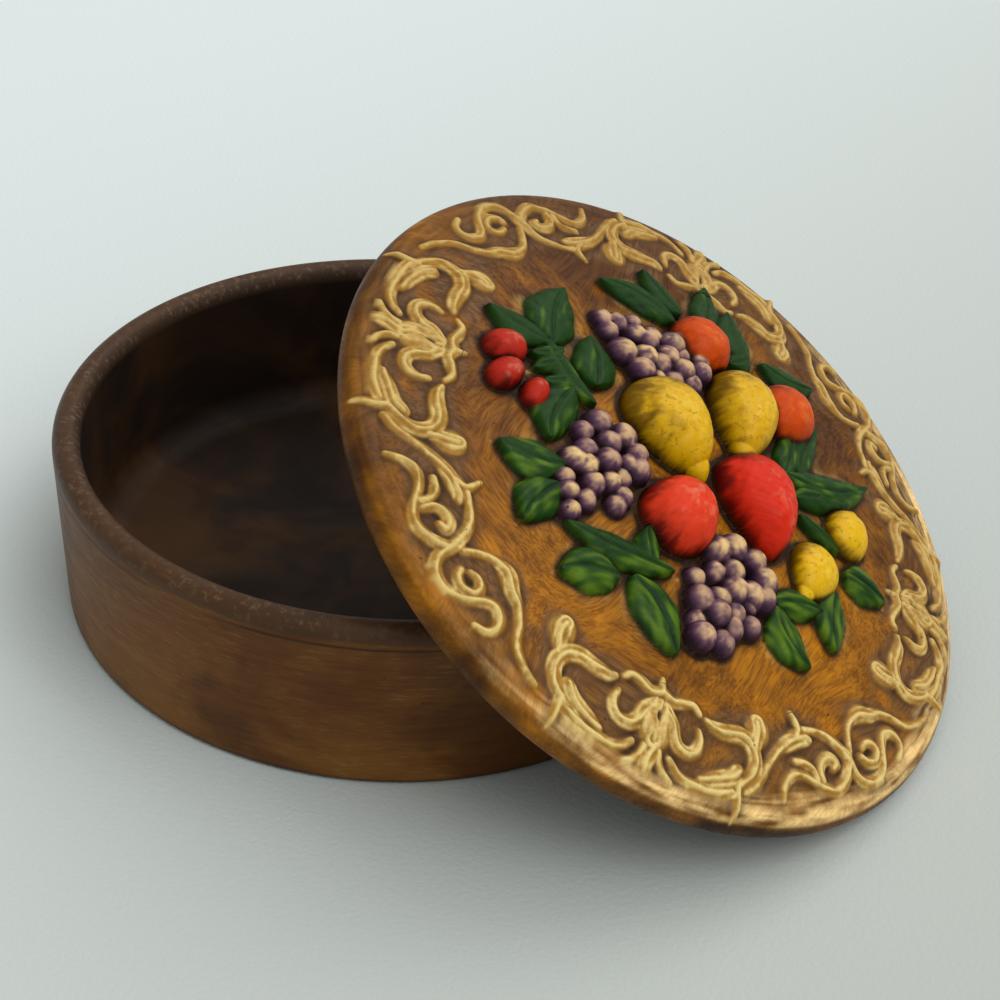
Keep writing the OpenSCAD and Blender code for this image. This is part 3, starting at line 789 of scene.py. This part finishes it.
def border_band():
    """A band from the seam over the dome and round the edge to a little below its widest
    circle. The relief lifts each point along the slope of the plain surface. Its normals are
    the cross product of its steps outwards and around. It gives its points, their normals,
    and the x and y of their paint, which under the widest circle is that circle's own."""
    flat = np.linspace(SEAM_R, RIM_R, BORDER_ROWS)[:, None]
    tilt = np.arcsin(flat / DOME_R)
    first_bend = 90 - np.degrees(tilt[-1, 0])
    bend = np.radians(np.linspace(first_bend, UNDER_BEND, EDGE_ROWS))[1:, None]
    r = np.vstack([flat, RIM_R + EDGE * np.cos(bend)])
    z = np.vstack([dome(flat), EDGE * np.sin(bend)])
    out = np.vstack([np.sin(tilt), np.cos(bend)])
    up = np.sqrt(1 - out ** 2) * np.vstack([np.ones_like(flat), np.sign(bend)])
    a = np.arange(8 * SIDE + 1) * np.pi / (4 * SIDE)
    x, y = r * np.cos(a), r * np.sin(a)
    high = read_plan(relief, x, y) * smooth(LID_R - r, *RELIEF_ENDS) * (up > 0)
    points = np.stack([x + high * out * np.cos(a), y + high * out * np.sin(a), z + high * up], 2)
    ring = np.concatenate([points[:, -2:-1], points, points[:, 1:2]], 1)
    normals = np.cross(np.gradient(points, axis=0), ring[:, 2:] - ring[:, :-2])
    normals /= np.linalg.norm(normals, axis=-1, keepdims=True)
    normals[0] = plan_normals(x[0], y[0])
    brim = np.where(z < 0, LID_R, r)
    return points, normals, brim * np.cos(a), brim * np.sin(a)


def sheet(name, points, normals, x, y):
    """A piece of the lid's skin from a grid of points, with its normals and its paint."""
    cell = np.arange(x.size).reshape(x.shape)
    quads = np.stack([cell[:-1, :-1], cell[1:, :-1], cell[1:, 1:], cell[:-1, 1:]], 2).reshape(-1, 4)
    place = leaned(points.reshape(-1, 3)) + [lean_x, 0, lean_z]
    piece = cast(name, place, quads.tolist())
    piece.data.normals_split_custom_set_from_vertices(leaned(normals.reshape(-1, 3)).tolist())
    paint_on(piece, x.ravel(), y.ravel())
    return piece


def layer(tree, name, socket="Fac"):
    """A value that is stored on the points of the sheet."""
    return tree.add("ShaderNodeAttribute", {"attribute_name": name}).outputs[socket]


SPECK = (88, 60, 8)
STREAK_DARK, STREAK_PALE = (0.42, 0.33, 0.16, 1), (1.5, 1.55, 1.6, 1)
SWAY = (0.03, 0.03, 0.03)
BRISTLES = [((1, 0.06, 1), 0.5, 2100.0), ((0.06, 1, 1), -0.4, 1900.0)]

gilding, t = new_material("painted_relief")
shader = t.tree.nodes["Principled BSDF"]
colour = layer(t, "paint", "Color")
# the hand sways, so the place that the bristles read is moved by a broad noise
sway = t.add("ShaderNodeTexNoise", None, Vector=t.place(), Scale=22.0, Detail=1.0)
swept = t.add("ShaderNodeVectorMath", {"operation": "MULTIPLY_ADD"},
              i0=sway.outputs["Color"], i1=SWAY, i2=t.place()).outputs[0]
bristles = [t.group(brush_marks, Place=t.place(scale, (0, 0, turn), swept), Fineness=fineness)
            for scale, turn, fineness in BRISTLES]
streak = t.mix(t.step(t.noise(t.place(), 34.0), 0.46, 0.54),
               *(marks.outputs["Streak"] for marks in bristles))
dark = t.mix(1.0, colour, STREAK_DARK, "MULTIPLY")
pale = t.mix(1.0, colour, STREAK_PALE, "MULTIPLY")
colour = t.mix(t.times(layer(t, "brushed"), 0.64), colour, t.mix(streak, dark, pale))
speck = t.step(t.noise(t.place(), 1000.0, 3, 0.7), 0.55, 0.68)
speck = t.times(speck, layer(t, "pitted"), 0.4)
colour = t.mix(speck, colour, linear(SPECK))
holes = t.group(pinholes, Place=t.place(), Number=260.0, Size=0.12).outputs["Hole"]
colour = t.mix(t.times(holes, 0.8), colour, linear(CREASE))
t.feed(shader, "Base Color", colour)
t.feed(shader, "Roughness", t.step(streak, 0, 1, 0.52, 0.38))
t.feed(shader, "Specular IOR Level", 0.13)
t.feed(shader, "Coat Weight", t.times(layer(t, "pitted"), 0.15))
t.feed(shader, "Coat Roughness", 0.25)
grit = t.maths("ADD", t.times(streak, 0.35), t.times(t.noise(t.place(), 420.0), 0.35))
grit = t.maths("SUBTRACT", grit, t.maths("ADD", holes, speck))
t.feed(shader, "Normal", t.bump(grit, 0.45, 0.0002))

plain, t = new_material("brown_underside")
shader = t.tree.nodes["Principled BSDF"]
wiped = t.group(brush_marks, Place=t.place((0.5, 0.12, 1)), Fineness=600.0)
t.feed(shader, "Base Color", t.mix(wiped.outputs["Streak"], linear(STAIN_DARK), linear(STAIN_MID)))
t.feed(shader, "Roughness", 0.5)
t.feed(shader, "Specular IOR Level", 0.13)

skin = []
for number, corner in enumerate(((-1, -1), (0, -1), (0, 0), (-1, 0))):
    skin.append(sheet(f"lid_field_{number + 1}", *field_quarter(*corner)))
band = border_band()
for number, half in enumerate((slice(0, 4 * SIDE + 1), slice(4 * SIDE, 8 * SIDE + 1))):
    skin.append(sheet(f"lid_border_{number + 1}", *(part[:, half] for part in band)))

ring_r = BOX_R - WALL - RING_GAP
ring_z = -EDGE - RING_DEPTH
inner = ring_r - RING_T
hollow_r = np.linspace(inner, 0, HOLLOW_ROWS)
under_profile = np.vstack([
    arc(RIM_R, 0, EDGE, UNDER_BEND, -90, 9),
    between([RIM_R, -EDGE], [ring_r, -EDGE], 3), [[ring_r, -EDGE]],
    [[ring_r, ring_z + RING_BEVEL], [ring_r - RING_BEVEL, ring_z]],
    [[inner + RING_BEVEL, ring_z], [inner, ring_z + RING_BEVEL]],
    np.stack([hollow_r, dome(hollow_r) - LID_T], 1),
])[::-1]
under_points, under_faces = turned(under_profile, 2 * SIDE)
lid_under = cast("lid_underside", leaned(under_points) + [lean_x, 0, lean_z], under_faces)

for piece in (*skin, lid_under):
    piece.data.materials.append(plain if piece is lid_under else gilding)
    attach(piece, "root")
    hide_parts("lid")

# The table is a sheet of pale, slightly rough paper, its colour darker on the lid's side as painted
# shade, under a wide soft lamp behind the box and a second one beside the lid.
PAPER_TURN, PAPER_FADE = -80, (-0.35, 0.35)
PAPER_SHADED = (170, 174, 166)
PAPER_LIT = (221, 231, 230)
ROOM_LIGHT, ROOM_STRENGTH = (244, 246, 244), 0.52
LAMPS = {
    "window": ((0.35, 0.95, 1.6), 1.8, 17.0, (253, 250, 251)),
    "bounce": ((1.0, -0.5, 1.5), 1.3, 16.0, (250, 250, 252)),
}

bpy.ops.mesh.primitive_plane_add(size=6)
table = bpy.context.object
table.name = "table"
paper, t = new_material("paper")
shader = t.tree.nodes["Principled BSDF"]
place = t.place((1, 1, 1), (0, 0, np.radians(PAPER_TURN)))
away = t.add("ShaderNodeSeparateXYZ", None, Vector=place).outputs["Y"]
# painted shade and light: the paper runs from darker on the lid's side to lighter away from it
t.feed(shader, "Base Color", t.mix(t.step(away, *PAPER_FADE), linear(PAPER_SHADED), linear(PAPER_LIT)))
t.feed(shader, "Roughness", 0.9)
t.feed(shader, "Normal", t.bump(t.noise(t.place(), 800.0, 3, 0.6), 0.3, 0.0006))
table.data.materials.append(paper)

for name, (spot, size, power, tint) in LAMPS.items():
    lamp = bpy.data.lights.new(name, "AREA")
    lamp.size, lamp.energy, lamp.color = size, power, linear(tint)[:3]
    holder = bpy.data.objects.new(name, lamp)
    bpy.context.scene.collection.objects.link(holder)
    holder.location = spot
    track = holder.constraints.new("TRACK_TO")
    track.target = frame["bodies"]["root"]
    track.track_axis, track.up_axis = "TRACK_NEGATIVE_Z", "UP_Y"

world = bpy.data.worlds.new("room")
bpy.context.scene.world = world
world.use_nodes = True
sky = world.node_tree.nodes["Background"]
sky.inputs["Color"].default_value = linear(ROOM_LIGHT)
sky.inputs["Strength"].default_value = ROOM_STRENGTH

# The camera stands to the left of the lid's downhill side and looks down on it, as the
# photographer did.
LENS = 82.9
EYE = (0.1970, -0.3773, 0.3171)
AXES = ((0.89063, 0.45044, 0.06132), (-0.30261, 0.48677, 0.81944), (0.3393, -0.7484, 0.5699))

camera = bpy.data.cameras.new("camera")
camera.lens, camera.sensor_width = LENS, 36.0
viewer = bpy.data.objects.new("camera", camera)
bpy.context.scene.collection.objects.link(viewer)
viewer.matrix_world = Matrix.LocRotScale(EYE, Matrix(AXES).transposed(), None)
bpy.context.scene.camera = viewer
bpy.context.scene.view_settings.view_transform = "Standard"
